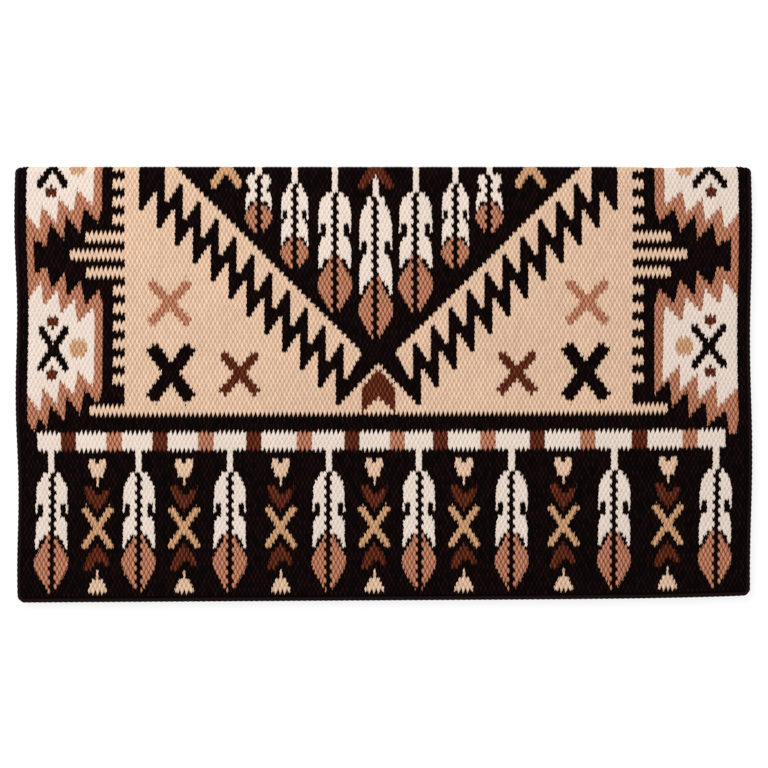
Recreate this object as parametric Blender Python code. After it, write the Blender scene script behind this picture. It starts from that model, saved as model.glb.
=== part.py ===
"""A hand-woven wool saddle blanket, folded in half along its spine and lying flat.

The cloth is weft-faced tapestry: each area of colour is woven of its own yarn, right through
the thickness, so each is a piece of its own here, seated in its neighbours. Both halves carry
the same pattern, mirrored about the fold. X runs along the horse's spine, and the fold is at +Y.
The near-side half lies on top and turns about the spine. All sizes are in metres.
"""

import math

import bmesh
import bpy

# The cloth
CLOTH_WIDTH = 0.8636  # 34 in, along the spine
CLOTH_LENGTH = 1.016  # 40 in, over the back from hem to hem
CLOTH_THICK = 0.008
LAYER_GAP = 0.0004  # air between the two folded halves
WEAVE_GAP = 0.0003  # clearance between neighbouring pieces
CORD_THICK = 0.0058  # the edge cord that binds the sides and the hem
CORNER_RADIUS = 0.009
CORNER_STEPS = 5
FOLD_STEPS = 16
CUT_OVERRUN = 0.002  # how far a cutter passes the faces that it cuts

# The pattern's sizes below fit a cloth of this width and length, and stretch with the cloth
DRAWN_WIDTH = 0.8636
DRAWN_LENGTH = 1.016

# The tan field and the tan teeth along its sides
FIELD_LEFT = -0.304
FIELD_RIGHT = 0.2915
FIELD_DEPTH = 0.2882  # from the fold to the field's lower edge
TOOTH_PITCH = 0.0207
TOOTH_HEIGHT = 0.0096
TOOTH_LENGTH = 0.0135
STRIPE_SHORT = 0.045
STRIPE_LONG = 0.064
STRIPE_LOW = 0.041
STRIPE_TEETH = (4, 5, 6)  # which teeth, counted from the fold, run out as stripes

# The diamonds on the side borders: half a diamond at the fold and a whole one below it
DIAMOND_OUTER_LEFT = -0.4174
DIAMOND_WIDTH_LEFT = 0.089
DIAMOND_OUTER_RIGHT = 0.4154
DIAMOND_WIDTH_RIGHT = 0.0974
DIAMOND_HALF = 0.0935  # half its height
DIAMOND_DEPTH = 0.211  # from the fold to the middle of the whole one
# Shares across the width, from the outer side, and of half the height
CREAM_EDGE_SHARES = (
    (0.0, 0.60), (0.17, 0.81), (0.205, 0.515), (0.387, 0.71), (0.42, 0.415),
    (0.60, 0.59), (0.667, 0.28), (0.85, 0.49), (0.894, 0.42),
)
RUST_EDGE_SHARES = (
    (0.258, 1.0), (0.31, 0.725), (0.495, 0.925), (0.517, 0.613), (0.70, 0.826),
    (0.764, 0.525), (0.947, 0.706), (1.0, 0.513),
)
RUST_STRIP_SHARES = (0.086, 0.905)  # the strip that joins the two rust outlines
RUST_FOOT_SHARES = ((0.0, 0.93), (0.086, 1.04), (0.15, 0.87))

# The V at the middle of the spine: a black triangle, its tan lining and the zigzag round it
V_CENTRE = -0.0065
V_HALF = 0.2402  # half the triangle's side along the fold
V_SLOPE = 0.988  # depth gained for each length along the spine
ZIGZAG_OUTER = 0.2807  # from the centre to the zigzag's first outer tip
ZIGZAG_TIP_DEPTH = 0.0497
ZIGZAG_NOTCH_IN = 0.0184  # from a tip to the notch above it
ZIGZAG_NOTCH_UP = 0.0205
ZIGZAG_STEP = 0.0211
ZIGZAG_DROP = 0.0205
ZIGZAG_TIPS = 12
LINING_OUTER = 0.2502
LINING_TOOTH_DEPTH = 0.0387  # depth of the first lining tooth's point
LINING_TOOTH = 0.0403  # height of a lining tooth's upright side
LINING_STEP = 0.0208
LINING_DROP = 0.0209
LINING_TEETH = 11
LINING_END = 0.0195
CROSSING_DEPTH = 0.227  # where the zigzag's two legs meet

# The arrowhead below the crossing
ARROW_TOP = 0.2368
ARROW_HALF = 0.0195
ARROW_SHOULDER = 0.0222  # from the top to the widest point
ARROW_HEIGHT = 0.0487
ARROW_NOTCH = 0.0175

# The six crosses in the field: distance from the V's centre, depth, half sizes, arm width
BLACK_CROSS = (0.2435, 0.2347, 0.028, 0.0355, 0.0145)
RUST_CROSS = (0.2452, 0.159, 0.0258, 0.0265, 0.0105)
BROWN_CROSS = (0.1622, 0.24, 0.0223, 0.027, 0.0102)

# Feathers: those of the V hang from the fold, and those of the hem from the bead band
STEM_HALF = 0.0032
QUILL_HALF = 0.0023
QUILL_START_SHARE = 0.05
# Down one side of a feather: shares of its half width and of its length below the shoulder
FEATHER_SIDE_SHARES = (
    (0.40, 0.06), (0.72, 0.14), (0.97, 0.21), (1.0, 0.37), (0.70, 0.315), (0.66, 0.38),
    (0.97, 0.47), (1.0, 0.67), (0.52, 0.575), (0.62, 0.69), (0.97, 0.785), (0.90, 0.85),
    (0.55, 0.93), (0.22, 1.0),
)
# Name: distance from the V's centre, half width, shoulder's depth and tip's depth
V_FEATHERS = {
    "outer_left": (-0.141, 0.0164, 0.0076, 0.0802),
    "wide_left": (-0.0982, 0.0164, 0.0228, 0.121),
    "inner_left": (-0.051, 0.020, 0.0275, 0.1713),
    "centre": (-0.0029, 0.019, 0.0331, 0.204),
    "inner_right": (0.0438, 0.020, 0.0275, 0.1713),
    "wide_right": (0.0905, 0.0164, 0.0228, 0.121),
    "outer_right": (0.1304, 0.0164, 0.0076, 0.0802),
}
BEAD_LEFT = -0.407
BEAD_RIGHT = 0.400
BEAD_DEPTH = 0.3116  # from the fold to the bead band
BEAD_HEIGHT = 0.021
HEM_FEATHER_SHARES = (-0.906, -0.667, -0.419, -0.150, 0.095, 0.347, 0.626, 0.901)
HEM_FEATHER_HALF = 0.0188
HEM_STEM = 0.0215  # from the bead band to a feather's shoulder
HEM_FEATHER_LENGTH = 0.1435

# Worked out from those
HALF_WIDTH = CLOTH_WIDTH / 2
DROP = CLOTH_LENGTH / 2  # from the fold to the hem
FOLD_RADIUS = CLOTH_THICK + LAYER_GAP / 2
FLAT_START = FOLD_RADIUS + WEAVE_GAP  # the depth at which the flat halves begin
WEB_HALF = HALF_WIDTH - CORD_THICK - WEAVE_GAP
WEB_DEPTH = DROP - CORD_THICK - WEAVE_GAP
TOP_LEVEL = CLOTH_THICK + LAYER_GAP
STRETCH_ALONG = CLOTH_WIDTH / DRAWN_WIDTH
STRETCH_DOWN = (DROP - FLAT_START) / (DRAWN_LENGTH / 2 - FLAT_START)

# Colour in linear light, roughness
WOOLS = {
    "black_wool": ((0.0075, 0.005, 0.0045), 0.92),
    "cream_wool": ((0.82, 0.71, 0.61), 0.9),
    "tan_wool": ((0.73, 0.49, 0.31), 0.9),
    "rust_wool": ((0.50, 0.19, 0.115), 0.9),
    "brown_wool": ((0.10, 0.02, 0.008), 0.92),
}

for old in list(bpy.data.objects):
    bpy.data.objects.remove(old, do_unlink=True)


def new_collection(name, parent):
    made = bpy.data.collections.new(name)
    parent.children.link(made)
    return made


blanket = new_collection("saddle_blanket", bpy.context.scene.collection)
cutters = new_collection("cutters", bpy.context.scene.collection)


def wool(name):
    colour, roughness = WOOLS[name]
    made = bpy.data.materials.new(name)
    made.use_nodes = True
    shader = made.node_tree.nodes["Principled BSDF"]
    shader.inputs["Base Color"].default_value = (*colour, 1)
    shader.inputs["Roughness"].default_value = roughness
    shader.inputs["Metallic"].default_value = 0
    return made


wools = {name: wool(name) for name in WOOLS}


# Outlines are lists of (place along the spine, depth from the fold), and depth runs to -Y
def seen_from_above(outline):
    return [(along, DROP / 2 - depth) for along, depth in outline]


def fitted(outline):
    """A drawn outline, stretched to the cloth but still starting at the fold."""
    return [
        (along * STRETCH_ALONG, FLAT_START + (depth - FLAT_START) * STRETCH_DOWN)
        for along, depth in outline
    ]


def grown(outline, by):
    """The outline with each side moved out by that much."""
    points = seen_from_above(outline)
    area = sum(a[0] * b[1] - b[0] * a[1] for a, b in zip(points, points[1:] + points[:1]))
    if area < 0:
        points.reverse()
    moved = []
    for i, here in enumerate(points):
        before, after = points[i - 1], points[(i + 1) % len(points)]
        normals = []
        for a, b in ((before, here), (here, after)):
            length = math.hypot(b[0] - a[0], b[1] - a[1])
            normals.append(((b[1] - a[1]) / length, (a[0] - b[0]) / length))
        (ax, ay), (cx, cy) = normals
        spread = 1 + ax * cx + ay * cy
        moved.append((here[0] + by * (ax + cx) / spread, here[1] + by * (ay + cy) / spread))
    return moved


def slab(name, points, thick):
    """A mesh of that outline and thickness, standing on its own origin's level."""
    curve = bpy.data.curves.new(name, "CURVE")
    curve.dimensions, curve.fill_mode, curve.extrude = "2D", "BOTH", thick / 2
    spline = curve.splines.new("POLY")
    spline.points.add(len(points) - 1)
    for point, (x, y) in zip(spline.points, points):
        point.co = (x, y, 0, 1)
    spline.use_cyclic_u = True
    drawn = bpy.data.objects.new(name, curve)
    blanket.objects.link(drawn)
    evaluated = drawn.evaluated_get(bpy.context.evaluated_depsgraph_get())
    mesh = bpy.data.meshes.new_from_object(evaluated)
    mesh.name = name
    bpy.data.objects.remove(drawn)
    bpy.data.curves.remove(curve)
    work = bmesh.new()
    work.from_mesh(mesh)
    bmesh.ops.remove_doubles(work, verts=work.verts, dist=WEAVE_GAP / 10)
    bmesh.ops.translate(work, verts=work.verts, vec=(0, 0, thick / 2))
    bmesh.ops.recalc_face_normals(work, faces=work.faces)
    work.to_mesh(mesh)
    work.free()
    return mesh


def cutter(name, outline):
    """Cuts both halves at once, with the clearance that the piece in the hole needs."""
    height = 2 * CLOTH_THICK + LAYER_GAP + 2 * CUT_OVERRUN
    mesh = slab(f"cut_{name}", grown(outline, WEAVE_GAP), height)
    made = bpy.data.objects.new(f"cut_{name}", mesh)
    made.location.z = -CUT_OVERRUN
    made.hide_render, made.display_type = True, "WIRE"
    return made


def woven(name, outline, colour, cut_by=()):
    """One area of colour, in both halves."""
    mesh = slab(name, seen_from_above(outline), CLOTH_THICK)
    mesh.materials.append(wools[colour])
    holes = None
    if cut_by:
        holes = new_collection(f"cuts_of_{name}", cutters)
        for part, hole in cut_by:
            holes.objects.link(cutter(f"{name}_{part}", hole))
    for half, level in (("near", TOP_LEVEL), ("off", 0)):
        made = bpy.data.objects.new(f"{half}_{name}", mesh)
        made.location.z = level
        blanket.objects.link(made)
        if holes:
            cut = made.modifiers.new("holes", "BOOLEAN")
            cut.operation, cut.solver = "DIFFERENCE", "EXACT"
            cut.operand_type, cut.collection = "COLLECTION", holes


def tube(name, points, colour, location=(0, 0, 0)):
    curve = bpy.data.curves.new(name, "CURVE")
    curve.dimensions, curve.bevel_depth = "3D", CORD_THICK / 2
    curve.bevel_resolution, curve.use_fill_caps = 2, True
    spline = curve.splines.new("POLY")
    spline.points.add(len(points) - 1)
    for point, place in zip(spline.points, points):
        point.co = (*place, 1)
    curve.materials.append(wools[colour])
    made = bpy.data.objects.new(name, curve)
    made.location = location
    blanket.objects.link(made)


def arc(centre, radius, start, end, steps):
    """Points round a centre, at angles in degrees."""
    turns = [math.radians(start + (end - start) * i / steps) for i in range(steps + 1)]
    return [
        (centre[0] + radius * math.cos(turn), centre[1] + radius * math.sin(turn))
        for turn in turns
    ]


def rounded_hem(half_width, depth, radius, top):
    """Down the left side, round both corners of the hem and up the right side."""
    low = depth - radius
    left = [(x, low + y) for x, y in arc((radius - half_width, 0), radius, 180, 90, CORNER_STEPS)]
    right = [(x, low + y) for x, y in arc((half_width - radius, 0), radius, 90, 0, CORNER_STEPS)]
    return [(-half_width, top), *left, *right, (half_width, top)]


def field_outline():
    """The field, with its teeth and stripes standing out into both borders."""
    middles = [k * TOOTH_PITCH for k in range(1, 1 + int(FIELD_DEPTH / TOOTH_PITCH))]
    middles = [m for m in middles if m + TOOTH_HEIGHT < FIELD_DEPTH - TOOTH_HEIGHT]
    teeth = [(FLAT_START, TOOTH_HEIGHT / 2, TOOTH_LENGTH)]
    for count, middle in enumerate(middles, 1):
        length = TOOTH_LENGTH
        if count in STRIPE_TEETH:
            length = STRIPE_LONG if count == STRIPE_TEETH[1] else STRIPE_SHORT
        teeth.append((middle - TOOTH_HEIGHT / 2, middle + TOOTH_HEIGHT / 2, length))
    teeth.append((FIELD_DEPTH - TOOTH_HEIGHT, FIELD_DEPTH, STRIPE_LOW))
    teeth = [tooth for tooth in teeth if tooth[1] > tooth[0]]
    left, right = [], []
    for top, bottom, length in teeth:
        for side, edge, out in ((left, FIELD_LEFT, -length), (right, FIELD_RIGHT, length)):
            side += [(edge, top), (edge + out, top), (edge + out, bottom), (edge, bottom)]
    if teeth[0][0] > FLAT_START:
        left.insert(0, (FIELD_LEFT, FLAT_START))
        right.insert(0, (FIELD_RIGHT, FLAT_START))
    left.pop()
    right.pop()
    return left + right[::-1]


def across(outer, width, share):
    """A place on a side border, by its share across the diamond from the outer side."""
    return outer + width * share * (1 if outer < 0 else -1)


def on_diamond(outer, width, shares, centre, way):
    """Points of a diamond's toothed edge, below its centre for way 1 and above it for -1."""
    places = [
        (across(outer, width, share), centre + way * high * DIAMOND_HALF) for share, high in shares
    ]
    return places if way > 0 else places[::-1]


def rust_outline(outer, width):
    strip, high = RUST_STRIP_SHARES
    inner = across(outer, width, 1)
    strip_at = across(outer, width, strip)
    edge = (outer, width, RUST_EDGE_SHARES)
    return [
        (outer, FLAT_START),
        *on_diamond(outer, width, RUST_FOOT_SHARES, DIAMOND_DEPTH, 1),
        *on_diamond(*edge, DIAMOND_DEPTH, 1),
        *on_diamond(*edge, DIAMOND_DEPTH, -1),
        (strip_at, DIAMOND_DEPTH - high * DIAMOND_HALF),
        (strip_at, high * DIAMOND_HALF),
        *on_diamond(*edge, 0, 1),
        (inner, FLAT_START),
    ]


def upper_cream(outer, width):
    edge = on_diamond(outer, width, CREAM_EDGE_SHARES, 0, 1)
    return [(outer, FLAT_START), *edge, (edge[-1][0], FLAT_START)]


def lower_cream(outer, width):
    edge = (outer, width, CREAM_EDGE_SHARES, DIAMOND_DEPTH)
    return on_diamond(*edge, 1) + on_diamond(*edge, -1)


def from_centre(points, way):
    """Places given from the V's centre, to its left for way -1 and to its right for 1."""
    return [(V_CENTRE + way * out, depth) for out, depth in points]


def v_outline():
    """Down the zigzag's outer edge on the left to the crossing, and up on the right."""
    points = [(ZIGZAG_OUTER, FLAT_START)]
    for k in range(ZIGZAG_TIPS):
        tip = (ZIGZAG_OUTER - k * ZIGZAG_STEP, ZIGZAG_TIP_DEPTH + k * ZIGZAG_DROP)
        points.append(tip)
        if k < ZIGZAG_TIPS - 1:
            points.append((tip[0] - ZIGZAG_NOTCH_IN, tip[1] - ZIGZAG_NOTCH_UP))
    points.append((0, CROSSING_DEPTH))
    return from_centre(points, -1) + from_centre(points[-2::-1], 1)


def lining_outline(way):
    """The tan strip beside the triangle, with a tooth for each turn of the zigzag."""
    points = [(LINING_OUTER, FLAT_START)]
    for k in range(LINING_TEETH):
        out = LINING_OUTER - k * LINING_STEP
        depth = LINING_TOOTH_DEPTH + k * LINING_DROP
        if k:
            points.append((out, depth - LINING_TOOTH))
        points.append((out, depth))
    points.append((LINING_END, (V_HALF - LINING_END) * V_SLOPE))
    points.append((V_HALF - FLAT_START / V_SLOPE, FLAT_START))
    return from_centre(points, way)


def feather(middle, half, start, shoulder, tip):
    """A feather with its stem, its hooked vanes and a slot for the dark quill."""
    length = tip - shoulder
    side = [(share * half, shoulder + down * length) for share, down in FEATHER_SIDE_SHARES]
    slot = [
        (QUILL_HALF, tip - (side[-1][0] - QUILL_HALF)),
        (QUILL_HALF, shoulder + QUILL_START_SHARE * length),
    ]
    points = [(STEM_HALF, start)]
    if shoulder > start:
        points.append((STEM_HALF, shoulder))
    points += [place for place in side if place[1] > start] + slot
    left = [(middle - out, depth) for out, depth in points]
    right = [(middle + out, depth) for out, depth in reversed(points)]
    return left + right


def bead_band():
    """The bead band with the feathers of the hem hanging from it."""
    low = BEAD_DEPTH + BEAD_HEIGHT
    points = [(BEAD_LEFT, BEAD_DEPTH + WEAVE_GAP), (BEAD_LEFT, low)]
    for share in HEM_FEATHER_SHARES:
        shoulder = low + HEM_STEM
        points += feather(
            share * DRAWN_WIDTH / 2, HEM_FEATHER_HALF, low, shoulder, shoulder + HEM_FEATHER_LENGTH
        )
    return points + [(BEAD_RIGHT, low), (BEAD_RIGHT, BEAD_DEPTH + WEAVE_GAP)]


def arrowhead():
    point, wide = ARROW_TOP, ARROW_TOP + ARROW_SHOULDER
    foot = ARROW_TOP + ARROW_HEIGHT
    side = [(ARROW_HALF, wide), (ARROW_HALF, foot)]
    below = [(0, foot - ARROW_NOTCH)]
    return [
        *from_centre([(0, point)], 1),
        *from_centre(side, -1),
        *from_centre(below, 1),
        *from_centre(side[::-1], 1),
    ]


def cross(size, way):
    """Two crossed arms with square ends."""
    out, depth, half_wide, half_high, arm = size
    reach = math.hypot(half_wide, half_high)
    cosine, sine = half_wide / reach, half_high / reach
    side, top = arm / 2 / sine, arm / 2 / cosine
    end = (half_wide - arm / 2 * sine, half_high - arm / 2 * cosine)
    shift = (arm / 2 * sine, arm / 2 * cosine)
    quarter = [
        (side, 0),
        (end[0] + shift[0], end[1] - shift[1]),
        (end[0] - shift[0], end[1] + shift[1]),
        (0, top),
    ]
    upper = quarter + [(-x, y) for x, y in quarter[2::-1]]
    points = upper + [(x, -y) for x, y in upper[-2:0:-1]]
    middle = V_CENTRE + way * out
    return [(middle + x, depth + y) for x, y in points]


sides = {
    "left": (DIAMOND_OUTER_LEFT, DIAMOND_WIDTH_LEFT, -1),
    "right": (DIAMOND_OUTER_RIGHT, DIAMOND_WIDTH_RIGHT, 1),
}
field, v_panel, head, beads = (
    fitted(outline) for outline in (field_outline(), v_outline(), arrowhead(), bead_band())
)
rusts = {
    side: fitted(rust_outline(outer, width)) for side, (outer, width, way) in sides.items()
}
linings = {side: fitted(lining_outline(way)) for side, (outer, width, way) in sides.items()}
creams = {
    f"{place}_cream_{side}": (side, fitted(shape(outer, width)))
    for side, (outer, width, way) in sides.items()
    for place, shape in (("upper", upper_cream), ("lower", lower_cream))
}
feathers = {
    f"v_feather_{name}": fitted(feather(V_CENTRE + out, half, FLAT_START, shoulder, tip))
    for name, (out, half, shoulder, tip) in V_FEATHERS.items()
}
crosses = {
    f"{colour}_cross_{side}": (colour, fitted(cross(size, sides[side][2])))
    for colour, size in (("black", BLACK_CROSS), ("rust", RUST_CROSS), ("brown", BROWN_CROSS))
    for side in sides
}

frame_low = fitted([(0, BEAD_DEPTH)])[0][1]
frame = [
    (-WEB_HALF, FLAT_START), (-WEB_HALF, frame_low), (WEB_HALF, frame_low), (WEB_HALF, FLAT_START),
]
woven("border_frame", frame, "black_wool", [("field", field), *rusts.items()])
for side, outline in rusts.items():
    inside = [(name, cream) for name, (at, cream) in creams.items() if at == side]
    woven(f"rust_outline_{side}", outline, "rust_wool", inside)
for name, (side, outline) in creams.items():
    woven(name, outline, "cream_wool")
woven(
    "tan_field",
    field,
    "tan_wool",
    [("v", v_panel), ("arrowhead", head)]
    + [(name, outline) for name, (colour, outline) in crosses.items()],
)
for name, (colour, outline) in crosses.items():
    woven(name, outline, f"{colour}_wool")
woven("arrowhead", head, "brown_wool")
woven("v_panel", v_panel, "black_wool", [*linings.items(), *feathers.items()])
for side, outline in linings.items():
    woven(f"v_lining_{side}", outline, "tan_wool")
for name, outline in feathers.items():
    woven(name, outline, "cream_wool")
hem_radius = CORNER_RADIUS - CORD_THICK - WEAVE_GAP
hem = rounded_hem(WEB_HALF, WEB_DEPTH, hem_radius, frame_low + WEAVE_GAP)
woven("end_panel", hem, "black_wool", [("beads", beads)])
woven("bead_band", beads, "cream_wool")

# The cord round the sides and the hem of each half, and its two short turns round the fold
cord_line = rounded_hem(
    HALF_WIDTH - CORD_THICK / 2, DROP - CORD_THICK / 2, CORNER_RADIUS - CORD_THICK / 2, FLAT_START
)
for half, level in (("near", TOP_LEVEL), ("off", 0)):
    line = [(x, y, level + CLOTH_THICK / 2) for x, y in seen_from_above(cord_line)]
    tube(f"{half}_edge_cord", line, "black_wool")

fold_at = DROP / 2 - FOLD_RADIUS - WEAVE_GAP / 2
fold_level = CLOTH_THICK + LAYER_GAP / 2
turn = arc((0, 0), (CLOTH_THICK + LAYER_GAP) / 2, -90, 90, FOLD_STEPS)
for side, way in (("left", -1), ("right", 1)):
    at = way * (HALF_WIDTH - CORD_THICK / 2)
    line = [(0, y + WEAVE_GAP / 2, z) for y, z in turn]
    tube(f"spine_cord_{side}", line, "black_wool", (at, fold_at, fold_level))

# The turn of the cloth round the fold: half a ring, run out along the spine
ring = [
    *arc((WEAVE_GAP / 2, 0), FOLD_RADIUS, -90, 90, FOLD_STEPS),
    *arc((WEAVE_GAP / 2, 0), LAYER_GAP / 2, 90, -90, FOLD_STEPS // 2),
]
fold_mesh = slab("spine_fold", ring, 2 * WEB_HALF)
fold_mesh.materials.append(wools["black_wool"])
fold = bpy.data.objects.new("spine_fold", fold_mesh)
fold.rotation_euler = (math.pi / 2, 0, math.pi / 2)
fold.location = (-WEB_HALF, fold_at, fold_level)
blanket.objects.link(fold)
for face in fold_mesh.polygons:
    face.use_smooth = True
fold_mesh.set_sharp_from_angle(angle=math.radians(40))
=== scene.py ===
"""Looks of a hand-woven wool saddle blanket, folded in half along its spine and lying flat.

The cloth is weft-faced tapestry. Each stitch of weft that shows is a small raised lozenge, its
long way over the horse's back, and the lozenges of one row lie between those of the next. Every
stitch is made here as a piece of the surface, on both faces of the cloth, and the pattern is a
weaver's chart that says which area of colour each stitch belongs to. Sizes are in metres.
"""

import math
from functools import partial

import bpy
import numpy as np
from bpy.props import FloatProperty, FloatVectorProperty, IntProperty, PointerProperty
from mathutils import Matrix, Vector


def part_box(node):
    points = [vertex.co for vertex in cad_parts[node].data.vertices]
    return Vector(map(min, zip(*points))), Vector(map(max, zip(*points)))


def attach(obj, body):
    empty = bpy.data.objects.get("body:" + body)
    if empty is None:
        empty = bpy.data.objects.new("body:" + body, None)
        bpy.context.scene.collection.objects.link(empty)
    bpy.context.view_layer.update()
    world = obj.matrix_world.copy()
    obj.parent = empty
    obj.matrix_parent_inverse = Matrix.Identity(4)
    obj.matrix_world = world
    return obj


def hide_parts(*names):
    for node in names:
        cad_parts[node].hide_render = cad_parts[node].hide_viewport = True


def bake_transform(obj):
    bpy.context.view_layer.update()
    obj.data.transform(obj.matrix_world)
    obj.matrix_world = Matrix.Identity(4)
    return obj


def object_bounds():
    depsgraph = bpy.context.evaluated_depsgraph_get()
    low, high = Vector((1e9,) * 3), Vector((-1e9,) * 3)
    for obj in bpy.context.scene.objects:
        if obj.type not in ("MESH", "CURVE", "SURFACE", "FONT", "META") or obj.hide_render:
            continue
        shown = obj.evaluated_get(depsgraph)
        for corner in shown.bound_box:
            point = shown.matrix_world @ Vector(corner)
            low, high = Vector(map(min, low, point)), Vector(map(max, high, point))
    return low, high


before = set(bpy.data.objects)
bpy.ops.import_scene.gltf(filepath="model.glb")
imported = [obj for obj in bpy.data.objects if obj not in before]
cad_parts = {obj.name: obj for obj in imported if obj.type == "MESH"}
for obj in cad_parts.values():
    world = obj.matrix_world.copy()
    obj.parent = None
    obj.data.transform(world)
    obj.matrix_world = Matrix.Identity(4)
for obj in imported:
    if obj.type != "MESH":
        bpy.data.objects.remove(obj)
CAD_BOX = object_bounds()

bl_info = {
    "name": "Woven Saddle Blanket",
    "version": (1, 0, 0),
    "blender": (4, 5, 0),
    "location": "View3D > Sidebar > Blanket",
    "description": "Weaves a folded wool saddle blanket stitch by stitch from its chart",
    "category": "Object",
}

# The cloth's own places, from the frame
WEB_LOW, WEB_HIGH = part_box("near_border_frame")
HEM_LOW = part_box("near_end_panel")[0]
CORD_LOW, CORD_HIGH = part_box("near_edge_cord")
FOLD_Y = CAD_BOX[1][1]  # the outer face of the turn
FOLD_RADIUS = (CAD_BOX[1][2] - CAD_BOX[0][2]) / 2
FOLD_LEVEL = CAD_BOX[0][2] + FOLD_RADIUS
FOLD_CENTRE = FOLD_Y - FOLD_RADIUS
INNER_RADIUS = WEB_LOW[2] - FOLD_LEVEL  # from the middle of the air gap to a half's inner face
WEB_HALF = WEB_HIGH[0]
HALF_WIDTH = CORD_HIGH[0]
DROP = FOLD_Y - CORD_LOW[1]
CORD_THICK = CORD_HIGH[2] - CORD_LOW[2]
QUARTER = math.pi / 2 * FOLD_RADIUS  # way over the outer face from the fold's middle to the flat
SAVED = QUARTER - FOLD_RADIUS  # how much longer that way is than it looks from above
HEM_WAY = QUARTER + FOLD_CENTRE - HEM_LOW[1]
FOLD_ROWS = 3  # rows on each side of the fold's middle that are woven into the turn at the fold

# The edge cord
CORNER_RADIUS = 0.009
CORNER_STEPS = 8
CORD_CLEAR = 0.0004  # between the turn and a half's cord, so that the open halves' cords don't meet
PLY_APART, PLY_HALF = 0.08, 0.43  # of the plies, as shares of the cord's thickness
CORD_RINGS = 24  # along the turn

# How the blanket lies. Shares across run from -1 at its left side to 1 at its right
NARROWER, ASIDE, LONGER = 0.9956, 0.001, 0.0012  # share of the width, to the right, share
CORNER_PULL, CORNER_POWER = 1.25, 5  # how much more, and how suddenly, the right corner goes up
DIP_AT, DIP_WIDTH, DIP_REACH = 0.77, 0.09, 0.05  # shares across, then depth
ENDS_LENGTH = 0.03  # of the fold, where it narrows to its ends
LEFT_SWAY, RIGHT_SWAY = (6.5, -1.7, 0.06, 30), (0, 0.3, 0.07, 23)  # slope, rise, start and pace
SWELL_START, SWELL_RUN = 0.012, 0.10  # past the turn
SWELL_WAVES = ((17, 6, 1.0), (-7, 23, 0.0))  # turns across and along, and start

# The tan field and the tan teeth along its sides
FIELD_LEFT = -0.304
FIELD_RIGHT = 0.2915
FIELD_DEPTH = 0.2882
TOOTH_PITCH = 0.0207
TOOTH_HEIGHT = 0.0096
TOOTH_LENGTH = 0.0135
STRIPE_SHORT = 0.045
STRIPE_LONG = 0.064
STRIPE_LOW = 0.041
STRIPE_TEETH = (4, 5, 6)

# The diamonds of the side borders
DIAMOND_OUTER = {"left": -0.4174, "right": 0.4154}
DIAMOND_WIDTH = {"left": 0.0875, "right": 0.0974}
DIAMOND_HALF = 0.0935
DIAMOND_DEPTH = 0.211
CREAM_EDGE_SHARES = (
    (0.0, 0.60), (0.17, 0.81), (0.205, 0.515), (0.397, 0.71), (0.43, 0.415),
    (0.62, 0.59), (0.667, 0.30), (0.865, 0.49), (0.885, 0.42),
)
RUST_EDGE_SHARES = (
    (0.258, 1.0), (0.31, 0.725), (0.495, 0.925), (0.517, 0.613), (0.70, 0.826),
    (0.764, 0.525), (0.947, 0.706), (1.0, 0.513),
)
RUST_STRIP_SHARES = (0.086, 0.905)
RUST_FOOT_SHARES = ((0.0, 0.93), (0.086, 1.04), (0.15, 0.87))
# At the bottom of the right diamond the teeth lie farther in
CREAM_LOW_SHARES = {
    "left": CREAM_EDGE_SHARES,
    "right": (
        (0.0, 0.55), (0.247, 0.79), (0.262, 0.468), (0.473, 0.69), (0.484, 0.366),
        (0.692, 0.57), (0.70, 0.249), (0.89, 0.46), (0.905, 0.42),
    ),
}
RUST_LOW_SHARES = {
    "left": RUST_FOOT_SHARES + RUST_EDGE_SHARES,
    "right": (
        (0.0, 0.95), (0.03, 1.11), (0.112, 1.11), (0.142, 0.82), (0.37, 1.01), (0.388, 0.70),
        (0.59, 0.90), (0.605, 0.577), (0.795, 0.78), (0.82, 0.43), (1.0, 0.61), (1.0, 0.51),
    ),
}

# Small marks in the diamonds: shares across, then real sizes
MARKS_DEPTH = 0.2125
BORDER_CROSS_SHARE = 0.339
BORDER_CROSS_HALF = {"left": 0.0196, "right": 0.0226}
BORDER_CROSS = (0.0270, 0.0084)  # half height and arm
FLOWER_SHARE = 0.325
FLOWER_HALF = 0.0068
FLOWERS = ((0.0193, 0.0368), (0.1935, 0.1735), (0.2309, 0.2490))  # depths of tip and foot
FLOWER_SHARES = (
    (0.2, 0.0), (0.25, 0.38), (0.9, 0.42), (1.0, 0.68), (0.75, 0.9), (0.6, 1.0), (0.0, 0.94),
)
DOT_SHARE = {"left": 0.672, "right": 0.64}
DOT = (0.0104, 0.0117)  # half width and half height

# The V at the middle of the spine
V_CENTRE = -0.0065
V_HALF = 0.2402
V_SLOPE = 0.988
ZIGZAG_OUTER = 0.2807
ZIGZAG_TIP_DEPTH = 0.0522
ZIGZAG_NOTCH_IN = 0.0206
ZIGZAG_NOTCH_UP = 0.0207
ZIGZAG_STEP = 0.02097  # eight columns of stitches
ZIGZAG_DROP = 0.02068  # four rows
ZIGZAG_TIPS = 12
BLUNT = 0.0040  # width of a tooth's tip
SHARP = 0.0026  # width of the notch between two teeth
LINING_OUTER = 0.2502
LINING_TOOTH_DEPTH = 0.0418
LINING_TOOTH = 0.0414
LINING_TEETH = 11
LINING_END = 0.0195
CROSSING_DEPTH = 0.231
ARROW_TOP = 0.2368
ARROW_HALF = 0.0195
ARROW_SHOULDER = 0.0222
ARROW_HEIGHT = 0.0520
ARROW_NOTCH = 0.0185

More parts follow.
